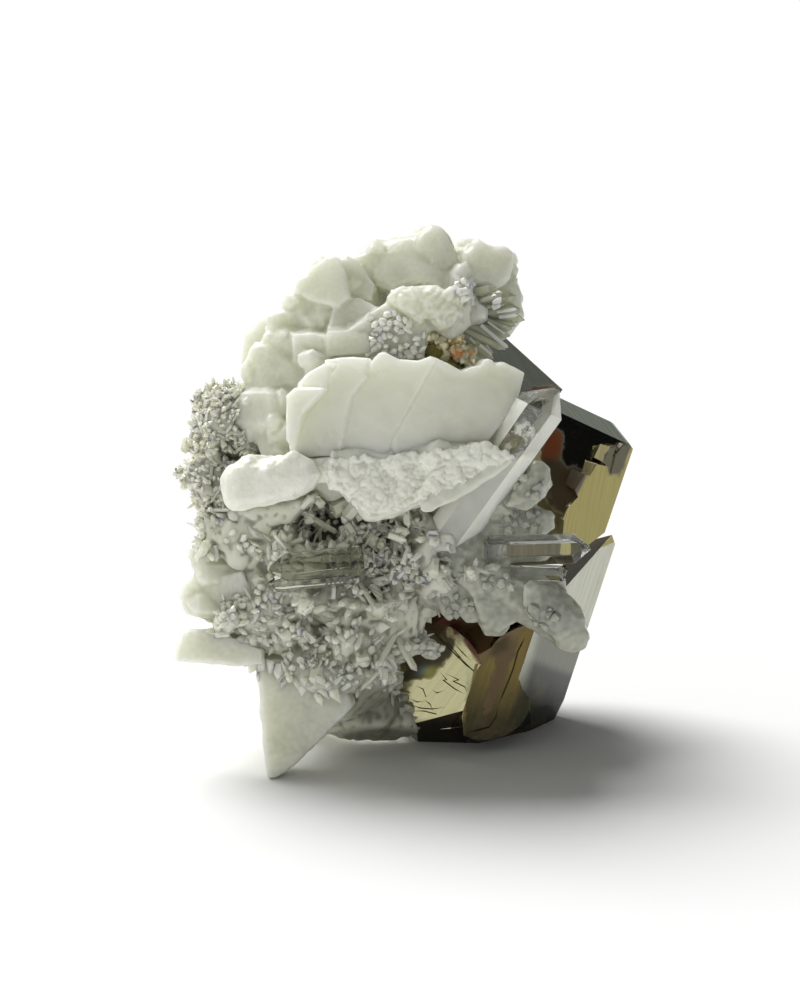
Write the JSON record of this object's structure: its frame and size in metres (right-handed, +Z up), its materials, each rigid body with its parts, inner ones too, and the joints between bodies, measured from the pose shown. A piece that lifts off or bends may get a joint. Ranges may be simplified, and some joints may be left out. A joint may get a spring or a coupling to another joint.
{
  "type": "pyrite specimen",
  "caption": "Mineral specimen: intergrown pyrite crystals half buried in white quartz blades, clear quartz points and a crust of small quartz needles. Stands free on a surface.",
  "frame": {"origin": "on the surface that the specimen stands on, under the middle of its bounding box", "axes": "+Z up, the best side faces -Y, the pyrite is towards +X"},
  "size_m": [0.0608, 0.0448, 0.0697],
  "materials": {
    "pyrite": "bright natural crystal faces, brassy gold to steel grey, striated",
    "sulphide": "metallic, tarnished brown",
    "clear_quartz": "transparent, glassy",
    "milky_quartz": "translucent white, vitreous",
    "frosted_quartz": "chalky white, finely granular",
    "druse_quartz": "grey-green translucent, glittering"
  },
  "bodies": {
    "root": {"pyrite_crystals": "pyrite", "large_clear_point": "clear_quartz", "small_clear_point": "clear_quartz", "grey_points": "clear_quartz", "frosted_blade": "frosted_quartz", "upright_tablets": "milky_quartz", "cloudy_lobes": "milky_quartz", "sulphide_grains": "sulphide", "needle_fan": "clear_quartz", "milky_cap": "milky_quartz", "front_tooth": "milky_quartz", "rear_tooth": "milky_quartz", "left_blades": "milky_quartz", "left_druse": "druse_quartz", "lower_druse": "druse_quartz"}
  },
  "joints": []
}
